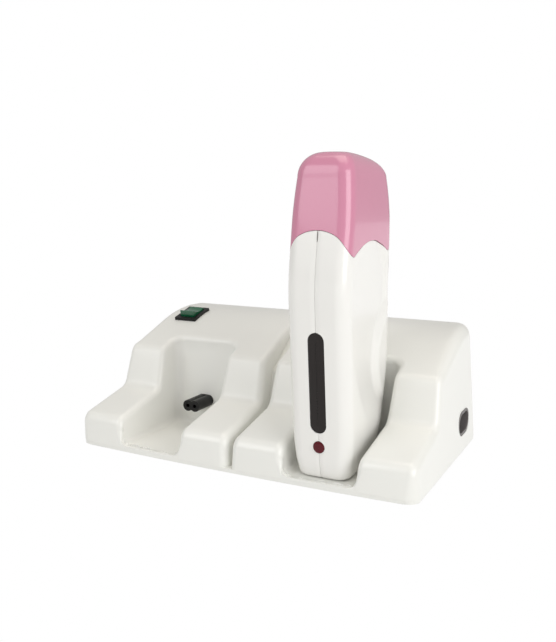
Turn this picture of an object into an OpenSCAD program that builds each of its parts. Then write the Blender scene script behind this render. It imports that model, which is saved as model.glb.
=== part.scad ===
// Roll on wax heater: a double docking base with one heated handset standing in it.
// +Z is up, the bays and the handset's window face -Y. The origin is on the surface it stands on,
// midway between the base's back and the handset's front. Millimetres.

/* [Base] */
// Width of the whole base
base_w = 272; // [262:1:290]
// Depth of the base at its foot
base_d = 161.5; // [156:0.5:172]
// Height of the base at its back edge
base_h = 93.2; // [89:0.2:104]
// How far the handset's front stands out past the base's front
overhang = 5; // [3:0.5:12]
// Draft of the moulded walls, in degrees
draft = 3.2; // [1:0.1:4]
// Radius of the upright front corners
corner_r = 9; // [6:0.5:12]
// Radius of the side edges of the arms
arm_r = 5; // [3:0.5:6]
// Radius of the outer side edges of the tower
tower_r = 12; // [6:0.5:14]
// How far the front is bowed from its middle to its ends
bow = 3.2; // [0:0.2:6]
// Wall of the mouldings
wall = 2.4; // [1.8:0.1:3]
// Gap between the two docks at the foot
valley_w = 2; // [1:0.2:4]
// Depth of that gap where it is deepest
valley_d = 15; // [10:1:20]

/* [Dock profile] */
// Height of an arm's front edge
arm_front = 25; // [22:0.5:28]
// Height of the corner where an arm meets its tower
arm_back = 37; // [34:0.5:42]
// Distance of that corner from the front
arm_l = 54.6; // [50:0.2:60]
// Height of the tower's shoulder
shoulder_h = 68.1; // [62:0.1:74]
// Distance of the shoulder from the front
shoulder_l = 64.4; // [61:0.2:70]
// Height of the bend in the tower's top
top_h = 92.2; // [86:0.2:94]
// Distance of that bend from the back
top_in = 38.7; // [32:0.1:44]

/* [Bay] */
// Width of a bay at its floor
bay_w = 52.7; // [50:0.1:56]
// Distance from the base's front to the foot of the bay's back wall
bay_l = 77.7; // [76:0.1:84]
// Thickness of the bay's floor
bay_floor = 1.8; // [1.4:0.1:3]
// Radius of the bay's inner corners
bay_r = 5; // [3:0.5:7]
// Radius of the bay's upper edges
edge_r = 4.8; // [3:0.2:5.4]

/* [Bottom] */
// Thickness of the bottom plate
plate_t = 2.8; // [2.4:0.1:4]
// How far the rubber feet stand out below the plate
foot_out = 0.6; // [0.4:0.1:1.5]
// Diameter of a foot
foot_d = 13; // [10:0.5:18]
// Diameter of a screw
screw_d = 3; // [2.5:0.1:3.5]
// Diameter of a screw boss
boss_d = 7; // [6:0.5:9]

/* [Switch] */
// Width of the switch frame, across
switch_w = 20.6; // [18:0.2:24]
// Length of the switch frame, front to back
switch_l = 24; // [21:0.5:28]
// Distance of the switch's middle from the base's side
switch_side = 31.3; // [26:0.1:36]
// Distance of the switch's middle from the base's back
switch_in = 45; // [40:0.5:49]
// Swing of the rocker, in degrees
rocker_swing = 16; // [10:1:18]

/* [Power inlet] */
// Length of the inlet's oval face
inlet_l = 30; // [27:0.5:33]
// Height of the inlet's oval face
inlet_h = 18.5; // [16:0.5:20]
// Depth of the inlet's well
inlet_depth = 15; // [12:0.5:18]
// Distance of the inlet's middle from the base's back
inlet_in = 38.3; // [33:0.1:44]
// Height of the inlet's middle
inlet_z = 22.6; // [19:0.2:28]

/* [Docking plug] */
// Width of the figure-8 docking plug
plug_w = 15.4; // [13.6:0.2:16.4]
// Height of the docking plug
plug_h = 9; // [7.6:0.2:9.6]
// How far it stands out from the foot of the bay's back wall
plug_out = 19.5; // [17:0.5:22]
// Height of its axis
plug_z = 25.1; // [23:0.1:28]
// Spacing of the two contacts
pin_pitch = 6.4; // [5.8:0.2:6.8]
// Diameter of a contact pin
pin_d = 2.4; // [1.8:0.1:2.6]
// Clearance round the plug in the handset's socket
plug_gap = 0.4; // [0.3:0.05:0.6]

/* [Handset] */
// Width of the handset
hand_w = 43; // [41:0.5:45]
// Height of the most forward part of its front
knee_z = 136.2; // [128:0.2:142]
// Forward lean of the front below that, in degrees
lean_low = 5.08; // [4:0.02:6]
// Backward lean of the front above that, in degrees
lean_high = 8.2; // [5:0.1:11]
// Radius of the front edges
front_r = 8.8; // [7:0.2:10]
// Radius of the rear edges
rear_r = 11; // [9:0.5:13]
// Narrowing of each side at the bottom
foot_in = 3.5; // [2:0.5:4]
// How far the neck reaches above the lowest tip of the cap
neck_l = 22; // [18:1:24]
// Clearance between a fixed part and a moving one
slide_gap = 0.3; // [0.25:0.05:0.5]

/* [Window and lamp] */
// Width of the level window
window_w = 11.2; // [9:0.2:13]
// Length of the level window
window_l = 68; // [60:1:76]
// Height of the window's lower end
window_z = 38.3; // [36:0.1:44]
// Diameter of the indicator lens
lens_d = 8.2; // [7:0.2:9]
// Height of the indicator
lens_z = 28.7; // [26:0.1:30]

/* [Cap] */
// Wall of the cap
cap_t = 2; // [1.6:0.1:2.4]
// Height of the cap's lower edge at its lowest tips
cap_low = 153.8; // [150:0.2:158]
// Rise of the lower edge to the middle of the front
cap_front = 17; // [12:0.5:18]
// Rise of the lower edge to the middle of a side
cap_side = 9.2; // [5:0.2:12]
// Radius of the cap's top edges
cap_r = 12; // [9:0.5:14]
// Space between the roller and the cap's crown
cap_room = 11.4; // [9:0.2:18]

/* [Cartridge] */
// Width of the wax cartridge
cart_w = 30; // [26:0.5:31]
// Depth of the wax cartridge
cart_d = 52; // [46:1:56]
// Height of the cartridge's body
cart_h = 112; // [104:1:116]
// Diameter of the roller
roller_d = 17; // [14:0.5:18]
// Length of the roller
roller_l = 42; // [36:1:43]

/* [Hidden] */
$fn = 48;
td = tan(draft);
front = -(base_d + overhang) / 2 + overhang;
back = front + base_d;
half = base_w / 2;
z0 = foot_out + plate_t;
zf = z0 + bay_floor;
unit_w = (base_w - valley_w) / 2;
unit_x = (base_w + valley_w) / 4;
bw = bay_w / 2;
arm_y = front + arm_l;
top_l = base_d - top_in;
slope = (top_h - shoulder_h) / (top_l - shoulder_l);
rim_y = front + bay_l + (top_h - zf) * 0.86 * td;
rim_z = shoulder_h + (rim_y - front - shoulder_l) * slope;
plug_y = front + bay_l - plug_out;
sw_y = back - switch_in;
switch_x = half - switch_side;
sw_tilt = 15.5;
sw_z = shoulder_h + (base_d - switch_in - shoulder_l) * slope - 1.7;
hand_z = zf + slide_gap;
hw = hand_w / 2;
cart_y = front + bay_l - 40;
cart_z = window_z + 21;
neck_top = cap_low + neck_l;
block_x = 34;
roll_z = cart_z + cart_h + 28;
hand_top = roll_z - 1 + roller_d / 2 + cap_room + cap_t;

// ---- shared curves and skins ----

function dir(a) = a / norm(a);

// A corner rounded by a circular arc that starts at the distance l before it.
function bend(a, p, b, l, n) =
    let (u = dir(a - p), v = dir(b - p), w = sqrt((1 - u * v) / 2), s = p + u * l, e = p + v * l)
    [for (i = [0:n])
        let (t = i / n, k = (1 - t) * (1 - t), m = 2 * t * (1 - t) * w, r = t * t)
        (k * s + m * p + r * e) / (k + m + r)];

function yz(c) = [c[0], c[1]];

// A path of corners [y, z, tangent length, edge radius] as points.
function path(c, n) = concat([yz(c[0])],
    [for (i = [1:len(c) - 2]) each bend(yz(c[i - 1]), yz(c[i]), yz(c[i + 1]), c[i][2], n)],
    [yz(c[len(c) - 1])]);

// The edge radius that belongs to each of those points.
function radii(c, n) = concat([c[0][3]],
    [for (i = [1:len(c) - 2]) for (j = [0:n]) c[i][3]],
    [c[len(c) - 1][3]]);

function left_of(a, b) = let (d = dir(b - a)) [-d[1], d[0]];

// The same corners moved to the right of the path by k times their edge radius.
function shift(c, k) = [for (i = [0:len(c) - 1])
    let (m = len(c) - 1,
        a = left_of(yz(c[max(i - 1, 0)]), yz(c[max(i, 1)])),
        b = left_of(yz(c[min(i, m - 1)]), yz(c[min(i + 1, m)])),
        d = k * c[i][3], q = (a + b) / (1 + a * b),
        turn = a[0] * b[1] - a[1] * b[0], h = norm(a - b) / norm(a + b),
        l = turn < 0 ? c[i][2] - d * h : c[i][2] + d * h)
    i == 0 || i == m ? [c[i][0] - a[0] * d * (i == 0 ? 1 : 0) - b[0] * d * (i == m ? 1 : 0),
        c[i][1], 0, c[i][3]]
    : [c[i][0] - q[0] * d, c[i][1] - q[1] * d, max(l, 0.25), c[i][3]]];

// A closed solid through loops with the same number of points, fans at both ends.
module skin(loops) {
    n = len(loops[0]);
    m = len(loops);
    polyhedron(points = [for (l = loops) each l],
        faces = concat(
            [for (i = [1:n - 2]) [0, i, i + 1]],
            [for (j = [0:m - 2]) for (i = [0:n - 1]) let (a = j * n + i, b = j * n + (i + 1) % n)
                each [[a, a + n, b + n], [a, b + n, b]]],
            [for (i = [1:n - 2]) [(m - 1) * n, (m - 1) * n + i + 1, (m - 1) * n + i]]));
}

// ---- base housing ----

// Side profile of a dock: front, arm, tower and back.
function dock_profile(e) = [
    [front + (z0 - foot_out) * td + e, z0, 0, corner_r],
    [front + (arm_front - foot_out) * td + e, arm_front - e, 7, arm_r + 1],
    [arm_y + e, arm_back - e, 4.3, arm_r],
    [front + shoulder_l + e, shoulder_h - e * 0.6, 4.3, arm_r],
    [front + top_l, top_h - e, 20, (arm_r + tower_r) / 2],
    [back - (base_h - foot_out) * td - e, base_h - e, 2, tower_r],
    [back - (z0 - foot_out) * td - e, z0, 0, corner_r]];

function bowed(p, x) = let (k = max(0, min(1, (arm_y - p[0]) / arm_l)))
    [x, p[0] + bow * pow(x / half, 2) * k, p[1]];

// One loop of the dock's skin: side -1 or 1, angle a from the flat (0) to the side wall (90).
function dock_loop(c, n, side, a, s, w, r_in) =
    let (k = side * s < 0 ? r_in : 1,
        cc = [for (q = c) [q[0], q[1], q[2], k == 1 ? q[3] : min(q[3], r_in)]],
        p = path(shift(cc, 1 - cos(a)), n), r = radii(cc, n),
        mid = [front + arm_l + 22, z0])
    [for (i = [-1:len(p) - 1])
        let (q = i < 0 ? mid : p[i], ri = i < 0 ? corner_r : r[i],
            x = side * unit_x + s * (w - (q[1] - foot_out) * td - ri * (1 - sin(a))))
        bowed(q, x)];

module dock_solid(side, e, n, step) {
    c = dock_profile(e);
    w = unit_w / 2 - e;
    skin(concat(
        [for (a = [90:-step:0]) dock_loop(c, n, side, a, 1, w, arm_r + 1)],
        [for (a = [0:step:90]) dock_loop(c, n, side, a, -1, w, arm_r + 1)]));
}

// Floor, back wall and rim of a bay, moved into the bay by e.
function bay_path(e) =
    let (y0 = front + bay_l - e, y1 = rim_y - e, z1 = rim_z + e * 0.3, k = (y1 - y0) / (z1 - zf - e))
    [[front - 20 + e, zf + e, 0, 1],
        [front + 10, zf + e, 4, 1],
        [y0, zf + e, bay_r + 1 - e * 0.6, 1],
        [y0 + (44 - zf - e) * k, 44, 3, 1],
        [y0 + (66 - zf - e) * k, 66, 2, 1],
        [y1, z1, 3.1, 1],
        [rim_y + 26, rim_z + 26 * slope + 3, 0, 1]];

// An arm's profile for the rounding of its bay edge, ending in front of the bay's back wall.
function flare_path(d) = let (c = dock_profile(0), y = rim_y - bay_r - 3)
    concat([[c[0][0] + 0.4, zf + bay_r + 1, 0, 1]],
        [for (i = [1:3]) [c[i][0], c[i][1], c[i][2], 1]],
        [[y, shoulder_h + (y - front - shoulder_l) * slope - d * 1.05, 1, 0],
            [y + 0.5, rim_z + 10, 2, 0], [y + 2, base_h + 30, 0, 0]]);

function bay_loop(side, s, x, c, far) =
    let (p = path(c, 4))
    [for (i = [-2:len(p) - 1])
        let (q = i == -2 ? [front - 25 - far, base_h + 30 + far]
            : i == -1 ? [front - 25 - far, p[0][1]] : p[i])
        bowed(q, side * unit_x + s * (x + max(0, q[1] - zf) * td))];

module bay_space(side) {
    angles = [0, 20, 40, 60, 80];
    flare = [for (a = angles) [bw + edge_r * (1 - cos(a)), edge_r * (1 - sin(a))]];
    last = [bw + edge_r * (1 - cos(80)) + 2.5, -0.37];
    left = concat([bay_loop(side, -1, last[0], shift(flare_path(last[1]), last[1]), 0)],
        [for (i = [4:-1:0])
            bay_loop(side, -1, flare[i][0], shift(flare_path(flare[i][1]), flare[i][1]), 0)],
        [for (a = [90:-30:0])
            bay_loop(side, -1, bw - bay_r * (1 - sin(a)), bay_path(bay_r * (1 - cos(a))), 1)]);
    right = concat(
        [for (a = [0:30:90])
            bay_loop(side, 1, bw - bay_r * (1 - sin(a)), bay_path(bay_r * (1 - cos(a))), 1)],
        [for (i = [0:4]) bay_loop(side, 1, flare[i][0], shift(flare_path(flare[i][1]), flare[i][1]), 0)],
        [bay_loop(side, 1, last[0], shift(flare_path(last[1]), last[1]), 0)]);
    skin(concat(left, right));
}

boss_at = [[-half + 13, front + 22], [-13, front + 22], [13, front + 22], [half - 13, front + 22],
    [-half + 20, back - 12], [half - 20, back - 12]];

module boss_posts(d, z, h) {
    for (p = boss_at)
        translate([p[0], p[1], z])
            cylinder(d = d, h = h);
}

// Block of the bay with its walls round it, kept out of the hollow.
module bay_core(side) {
    y = front + bay_l + wall;
    for (k = [[wall + 2.4, 42], [wall + 4.8, base_h + 5]])
        let (low = k[1] < 50 ? 0 : 38)
            translate([side * unit_x - bw - k[0], 0, 0])
                rotate([90, 0, 90])
                    linear_extrude(2 * (bw + k[0]))
                        polygon([[front - 3, low], [front - 3, k[1]],
                            [y + (k[1] - zf) * td, k[1]], [y + low * td, low]]);
}

// Solid web that fills the gap between the docks, deep in front and level at the back.
module valley_web() {
    d = valley_d;
    translate([-9, 0, 0])
        rotate([90, 0, 90])
            linear_extrude(18)
                polygon([[front + 9, z0], [front + 10, arm_front - d * 0.8], [arm_y + 4, arm_back - d],
                    [front + shoulder_l + 7, shoulder_h - d], [front + top_l - 22, top_h - d],
                    [front + top_l + 6, top_h - 5], [back - (base_h - foot_out) * td - 4, base_h - 1],
                    [back - (base_h - foot_out) * td - 1.2, base_h - 3],
                    [back - (z0 - foot_out) * td - 1.5, z0]]);
}

module in_switch() {
    translate([-switch_x, sw_y, sw_z])
        rotate([sw_tilt, 0, 0])
            children();
}

module stadium(l, h, t) {
    linear_extrude(t) {
        square([l - h, h], center = true);
        for (s = [-1, 1])
            translate([s * (l - h) / 2, 0])
                circle(d = h);
    }
}

module in_inlet() {
    translate([half - (inlet_z - foot_out) * td, back - inlet_in, inlet_z])
        rotate([90, 0, 90])
            children();
}

// Figure-8 outline, lying across.
module figure8(w, h, t) {
    linear_extrude(t) {
        square([w - h, h * 0.8], center = true);
        for (s = [-1, 1])
            translate([s * (w - h) / 2, 0])
                circle(d = h);
    }
}

// Places a piece at a bay's plug, its +Z along -Y, its face at the plug's face.
module at_plug(side) {
    translate([side * unit_x, plug_y, plug_z])
        rotate([90, 0, 0])
            children();
}

// One dock with its bay, hollow inside; the other one is its mirror image.
module dock() {
    difference() {
        dock_solid(-1, 0, 4, 22.5);
        bay_space(-1);
        difference() {
            dock_solid(-1, wall, 2, 45);
            bay_core(-1);
            boss_posts(boss_d, 0, base_h);
        }
    }
}

module base_housing() color("white") {
    difference() {
        union() {
            dock();
            mirror([1, 0, 0])
                dock();
            valley_web();
        }
        boss_posts(screw_d + 0.1, z0 - 1, 13);
        translate([-12, back - 62, z0 - 1])
            cube([24, 48, 11]);
        in_switch() {
            translate([-switch_w / 2 - 0.1, -switch_l / 2 - 0.1, 0])
                cube([switch_w + 0.2, switch_l + 0.2, 20]);
            translate([-switch_w / 2 + 1.4, -switch_l / 2 + 1.4, -12])
                cube([switch_w - 2.8, switch_l - 2.8, 20]);
        }
        in_inlet()
            translate([0, 0, -12])
                stadium(inlet_l + 0.2, inlet_h + 0.2, 30);
        for (s = [-1, 1])
            at_plug(s)
                translate([0, 0, -plug_out - 12])
                    figure8(plug_w + 0.2, plug_h + 0.2, 30);
    }
}

module plate_outline(e) {
    r = corner_r - e;
    x = half - e;
    union() {
        polygon([for (i = [-8:8]) let (k = i / 8) [k * (x - r), front + e + bow * k * k * 0.9],
            [x - r, back - e], [-x + r, back - e]]);
        for (s = [-1, 1]) {
            translate([s * (x - r), front + bow + e + r])
                circle(r = r);
            translate([s * (x - r), back - e - r])
                circle(r = r);
            translate([s > 0 ? x - r - 1 : -x, front + bow + e + r])
                square([r + 1, base_d - bow - 2 * e - 2 * r]);
        }
    }
}

module base_plate() color("white") {
    difference() {
        translate([0, 0, foot_out])
            linear_extrude(plate_t)
                plate_outline(0.4);
        boss_posts(screw_d + 0.4, 0, 20);
        boss_posts(2 * screw_d + 0.4, 0, foot_out + 1.4);
        for (p = foot_at)
            translate([p[0], p[1], 0])
                cylinder(d = foot_d + 0.2, h = foot_out + 1.2);
        for (x = [-half + 30:6:-half + 66])
            translate([x, back - 40, 0])
                cube([2.4, 24, 10]);
        for (x = [half - 66:6:half - 30])
            translate([x, back - 40, 0])
                cube([2.4, 24, 10]);
    }
}

foot_at = [[-half + 16, front + 42], [half - 16, front + 42], [-half + 16, back - 48],
    [half - 16, back - 48], [0, front + 50], [0, back - 30]];

module base_feet() color("dimgray") {
    for (p = foot_at)
        translate([p[0], p[1], 0])
            difference() {
                cylinder(d = foot_d, h = foot_out + 1.2);
                translate([0, 0, -1])
                    cylinder(d = foot_d * 0.4, h = 1.3);
            }
}

module base_screws() color("silver") {
    for (p = boss_at)
        translate([p[0], p[1], foot_out + 0.2])
            difference() {
                union() {
                    cylinder(d = 2 * screw_d, h = 1.2);
                    cylinder(d = screw_d, h = 12);
                }
                translate([-2, -0.4, -1])
                    cube([4, 0.8, 1.5]);
                translate([-0.4, -2, -1])
                    cube([0.8, 4, 1.5]);
            }
}

// ---- switch ----

module switch_frame() color("black") {
    w = switch_w;
    l = switch_l;
    in_switch()
        difference() {
            union() {
                translate([-w / 2, -l / 2, 0])
                    cube([w, l, 2.6]);
                translate([-w / 2 + 1.5, -l / 2 + 1.5, -11])
                    cube([w - 3, l - 3, 12]);
            }
            translate([-w / 2 + 3, -l / 2 + 3, -9])
                cube([w - 6, l - 6, 20]);
            translate([0, 0, 0.6])
                rotate([0, 90, 0])
                    cylinder(d = 2.1, h = w - 3.6, center = true);
        }
}

module switch_rocker() color("darkgreen") {
    w = switch_w - 6 - 2 * slide_gap;
    l = switch_l / 2 - 3 - 0.5;
    in_switch()
        translate([0, 0, 0.6])
            rotate([-rocker_swing / 2, 0, 0]) {
                rotate([90, 0, 90])
                    translate([0, 0, -w / 2])
                        linear_extrude(w)
                            polygon([[-l * 0.98, 2.2], [0, 1.9], [l * 0.98, 2.2],
                                [l * 0.9, -1.6], [2.4, -4.2], [-2.4, -4.2], [-l * 0.9, -1.6]]);
                rotate([0, 90, 0])
                    cylinder(d = 2, h = switch_w - 4.4, center = true);
            }
}

// ---- power inlet ----

module power_inlet() color("dimgray") {
    in_inlet()
        difference() {
            union() {
                translate([0, 0, -inlet_depth - 2])
                    stadium(inlet_l, inlet_h, inlet_depth + 2);
                translate([-inlet_l / 2 - 3, -inlet_h / 2 - 2, -wall - 3.2])
                    cube([inlet_l + 6, inlet_h + 4, 2]);
            }
            translate([0, 0, -inlet_depth])
                stadium(inlet_l - 4, inlet_h - 4, inlet_depth + 3);
            for (s = [-1, 1])
                translate([s * pin_pitch * 0.7, 0, -inlet_depth - 3])
                    cylinder(d = pin_d, h = 5);
        }
}

module inlet_pins() color("silver") {
    in_inlet()
        for (s = [-1, 1])
            translate([s * pin_pitch * 0.7, 0, -inlet_depth - 6]) {
                cylinder(d = pin_d, h = 14);
                translate([0, 0, 14])
                    sphere(d = pin_d);
            }
}

// ---- docking plugs ----

module dock_plug(side) {
    at_plug(side)
        difference() {
            union() {
                translate([0, 0, -plug_out - 8])
                    figure8(plug_w, plug_h, plug_out + 8);
                translate([-plug_w / 2 - 3, -plug_h / 2 - 3, -plug_out - 9])
                    cube([plug_w + 6, plug_h + 6, 4]);
            }
            for (s = [-1, 1])
                translate([s * pin_pitch / 2, 0, -9.5])
                    cylinder(d = pin_d + 2 * slide_gap, h = 20);
        }
}

module left_dock_plug() color("black") {
    dock_plug(-1);
}

module right_dock_plug() color("black") {
    dock_plug(1);
}

module plug_brackets() color("gainsboro") {
    for (s = [-1, 1])
        at_plug(s)
            difference() {
                translate([-plug_w / 2 - 6, -plug_z + z0, -plug_out - 14])
                    cube([plug_w + 12, plug_z - z0 + plug_h / 2 + 6, 5]);
                translate([-plug_w / 2 + 2, -plug_h / 2 + 2, -plug_out - 15])
                    cube([plug_w - 4, plug_h - 4, 20]);
            }
}

module terminal_block() color("ivory") {
    difference() {
        translate([block_x - 16, back - 45, z0])
            cube([32, 14, 12]);
        for (i = [-1.5:1:1.5])
            translate([block_x + i * 7, back - 46, z0 + 6])
                rotate([-90, 0, 0])
                    cylinder(d = 3.4, h = 16);
        for (i = [-1.5:1:1.5])
            translate([block_x + i * 7, back - 38, z0 + 7])
                cylinder(d = 3, h = 6);
    }
}

// A wire through a list of points, with a square clip at each bend.
module wire(p, d) {
    for (i = [0:len(p) - 2])
        let (v = p[i + 1] - p[i], l = norm(v)) {
            translate(p[i])
                rotate([0, acos(v[2] / l), atan2(v[1], v[0])])
                    cylinder(d = d, h = l, $fn = 32);
            if (i > 0)
                translate(p[i] - [0.7, 0.7, 0.7] * d)
                    cube(1.4 * d);
        }
}

// Wires from the plugs, the inlet and the switch to the terminal block.
module base_wiring() color("saddlebrown") {
    y = front + bay_l + 9.45;
    for (s = [-1, 1])
        for (k = [-1, 1])
            wire([[s * unit_x + k * pin_pitch / 2, y, plug_z],
                [s * unit_x + k * pin_pitch / 2, y + 9 + k * 2, plug_z],
                [s * unit_x + k * pin_pitch / 2, back - 54 + k * 3, 8],
                [block_x + s * (7 + k * 3.5), back - 54 + k * 3, 8],
                [block_x + s * (7 + k * 3.5), back - 45.2, 9.4]], 2.2);
    for (k = [-1, 1])
        wire([[half - 24, back - inlet_in + k * pin_pitch * 0.7, inlet_z],
            [half - 34, back - 22 + k * 2.5, 9.4],
            [block_x + 7 - k * 3.5, back - 22 + k * 2.5, 9.4],
            [block_x + 7 - k * 3.5, back - 30.8, 9.4]], 2.2);
    for (k = [-1, 1])
        wire([[-switch_x + k * 4, sw_y, sw_z - 11.9], [-switch_x + k * 4, back - 22 + k * 2.5, 9.4],
            [block_x - 7 + k * 3.5, back - 22 + k * 2.5, 9.4],
            [block_x - 7 + k * 3.5, back - 30.8, 9.4]], 2.2);
}

// ---- handset ----

function smooth_min(a, b, k) = let (h = max(0, k - abs(a - b)) / k) min(a, b) - h * h * k / 4;

// The handset's front, back and half width at a height.
function face_y(z) = -smooth_min(front_a + (z - hand_z) * tan(lean_low),
    front_b - (z - knee_z) * tan(lean_high), 3) + foot_bend(z);
front_b = (base_d + overhang) / 2 + 0.7;
front_a = front_b - (knee_z - hand_z) * tan(lean_low);
function foot_bend(z) = z > hand_z + 15 ? 0 : 2.2 * pow((hand_z + 15 - z) / 15, 2);
function rear_y(z) = front + bay_l + 4.1 - 0.0035 * pow(max(0, 88 - z), 2)
    - 0.006 * pow(max(0, z - 165), 2) * (z < 190 ? 1 : 190 / z);
function side_x(z) = hw - foot_in * pow(max(0, (hand_z + 35 - z) / 35), 2)
    - 0.0016 * pow(max(0, z - 170), 2);

// Half of a level section, set in by e, from the front to the back, in XY.
function half_ring(z, e, n) =
    let (f = face_y(z) + e, b = rear_y(z) - e, h = side_x(z) - e,
        rf = max(front_r - e, 2), rr = max(rear_r - e, 2))
    concat([[0, f]],
        [for (i = [0:n]) let (a = 90 * i / n) [h - rf + rf * sin(a), f + rf - rf * cos(a)]],
        [for (i = [1:6]) [h, f + rf + (b - rr - f - rf) * i / 7]],
        [for (i = [0:n]) let (a = 90 * i / n) [h - rr + rr * cos(a), b - rr + rr * sin(a)]],
        [[0, b]]);

// Height of the cap's scalloped lower edge over a point of the outline.
function scallop(p) =
    let (k = abs(p[0]) / hw, y = (p[1] - face_y(cap_low)) / (rear_y(cap_low) - face_y(cap_low)))
    cap_low + (y < 0.12 ? cap_front * pow(max(0, 1 - k * k * 0.9), 0.6) * (1 - y / 0.12)
        : y < 0.86 ? cap_side * (1 - pow(2 * (y - 0.12) / 0.74 - 1, 2))
        : cap_side * 1.3 * (y - 0.86) / 0.14);

body_z = [hand_z, hand_z + 1.2, hand_z + 4, hand_z + 10, hand_z + 18, hand_z + 28, hand_z + 45,
    hand_z + 65, hand_z + 82, knee_z - 15, knee_z - 3, knee_z + 4, cap_low - 5];
body_e = [3, 1.2, 0.3, 0, 0, 0, 0, 0, 0, 0, 0, 0, 0];

// Solid of one half of the handset with its neck; s is -1 or 1.
module half_body(s) {
    n = 5;
    low = [for (i = [0:len(body_z) - 1]) [for (q = half_ring(body_z[i], body_e[i], n))
        [s * q[0], q[1], body_z[i]]]];
    z = [for (q = half_ring(cap_low, 0, n)) scallop(q) - 2 * slide_gap];
    edge = [for (i = [0:len(z) - 1]) let (q = half_ring(z[i], 0, n)[i]) [s * q[0], q[1], z[i]]];
    neck = [for (t = [0, 0.35, 0.7, 1]) [for (i = [0:len(z) - 1])
        let (h = z[i] + (neck_top - z[i]) * t, q = half_ring(h, cap_t + slide_gap + 0.25, n)[i])
        [s * q[0], q[1], h]]];
    loops = [for (l = concat(low, [edge], neck)) [for (q = l)
        [abs(q[0]) < 0.01 ? -2 * s : q[0], q[1], q[2]]]];
    skin(s > 0 ? loops : [for (l = loops) [for (i = [len(l) - 1:-1:0]) l[i]]]);
}

module half_hollow(s) {
    n = 3;
    e = wall + cap_t + slide_gap;
    z = [hand_z + wall, hand_z + 12, hand_z + 30, hand_z + 60, knee_z - 10, cap_low - 8,
        cap_low - 2, neck_top + 2];
    k = [wall + 2, wall, wall, wall, wall, wall, e, e];
    loops = [for (i = [0:len(z) - 1]) [for (q = half_ring(z[i], k[i], n))
        [s * (q[0] < 0.01 ? -3 : q[0]), q[1], z[i]]]];
    skin(s > 0 ? loops : [for (l = loops) [for (i = [len(l) - 1:-1:0]) l[i]]]);
}

module on_front() {
    translate([unit_x, face_y(window_z + 20), window_z + 20])
        rotate([90 + lean_low, 0, 0])
            children();
}

module window_slot(w, l, z, t) {
    translate([0, window_l / 2 - 20, z])
        linear_extrude(t) {
            square([w, l - w], center = true);
            for (s = [-1, 1])
                translate([0, s * (l - w) / 2])
                    circle(d = w);
        }
}

screw_at = [[cart_y + 30, 50], [cart_y + 30, 112]];

module shell_boss(s, d, l) {
    for (q = screw_at)
        translate([unit_x, q[0], q[1]])
            rotate([0, s * 90, 0])
                cylinder(d = d, h = l);
}

module half_shell(s) {
    x = hw - wall;
    difference() {
        union() {
            translate([unit_x, 0, 0])
                intersection() {
                    difference() {
                        half_body(s);
                        half_hollow(s);
                    }
                    translate([s > 0 ? 0 : -50, -150, 0])
                        cube([50, 300, 300]);
                }
            shell_boss(s, 5, hw - 1.4);
            // shelf under the heater sleeve, board ledges and socket ribs
            translate([unit_x + (s > 0 ? 3 : -x - 1), cart_y - 22, cart_z - 6])
                cube([x - 2, 40, 2.4]);
            translate([unit_x + (s > 0 ? x - 3 : -x - 1), cart_y - 20, 36])
                cube([4, 32, 3.4]);
            translate([unit_x + (s > 0 ? 10.9 : -x - 0.6), plug_y - 3, 12])
                cube([x - 10.3, 3, 22]);
        }
        translate([-s, 0, 0])
            shell_boss(s, screw_d - 0.5, 13);
        on_front() {
            window_slot(window_w + 0.2, window_l + 0.2, -10, 20);
        }
        translate([unit_x, face_y(lens_z) - 5, lens_z])
            rotate([-90, 0, 0])
                cylinder(d = lens_d + 0.2, h = 12);
        translate([unit_x - 10.8, plug_y + 4, plug_z - 6.7])
            cube([21.6, 20, 13.4]);
    }
}

module handset_left_shell() color("white") {
    half_shell(-1);
}

module handset_right_shell() color("whitesmoke") {
    half_shell(1);
}

module level_window() color("black") {
    on_front() {
        window_slot(window_w, window_l, -wall - 0.1, wall + 0.3);
        window_slot(window_w + 4, window_l + 4, -wall - 1.5, 1.4);
    }
}

module indicator_lens() color("darkred") {
    y = face_y(lens_z);
    translate([unit_x, y - 0.4, lens_z])
        rotate([-90, 0, 0]) {
            cylinder(d = lens_d, h = wall + 1.2);
            translate([0, 0, wall + 1])
                cylinder(d = lens_d + 3, h = 1);
        }
}

module indicator_lamp() color("lightgray") {
    y = face_y(lens_z) + wall + 1.8;
    translate([unit_x, y, lens_z])
        rotate([-90, 0, 0]) {
            cylinder(d = 5, h = 5);
            cylinder(d = 5.8, h = 1);
        }
    for (s = [-1, 1])
        translate([unit_x + s * 1.27, y + 4, lens_z])
            cylinder(d = 0.6, h = 39.4 - lens_z, $fn = 32);
}

module rounded_block(w, d, r, h) {
    linear_extrude(h) {
        square([w - 2 * r, d], center = true);
        square([w, d - 2 * r], center = true);
        for (x = [-1, 1])
            for (y = [-1, 1])
                translate([x * (w / 2 - r), y * (d / 2 - r)])
                    circle(r = r);
    }
}

module in_cart(z) {
    translate([unit_x, cart_y, cart_z + z])
        children();
}

module heater_sleeve() color("silver") {
    in_cart(-3.6)
        difference() {
            rounded_block(cart_w + 2.6, cart_d + 2.6, 9.3, 88);
            translate([0, 0, 1.8])
                rounded_block(cart_w + 0.8, cart_d + 0.8, 8.4, 100);
            translate([-4, -cart_d / 2 - 5, 4])
                cube([8, 10, 74]);
        }
}

module heater_plates() color("peru") {
    for (s = [-1, 1])
        in_cart(8)
            translate([s > 0 ? cart_w / 2 + 1.3 : -cart_w / 2 - 2.7, -15, 0])
                cube([1.4, 30, 55]);
}

module thermostat() color("gray") {
    in_cart(26)
        translate([0, cart_d / 2 + 1.3, 0])
            rotate([-90, 0, 0]) {
                cylinder(d = 14, h = 3);
                cylinder(d = 9, h = 4.5);
            }
}

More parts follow.
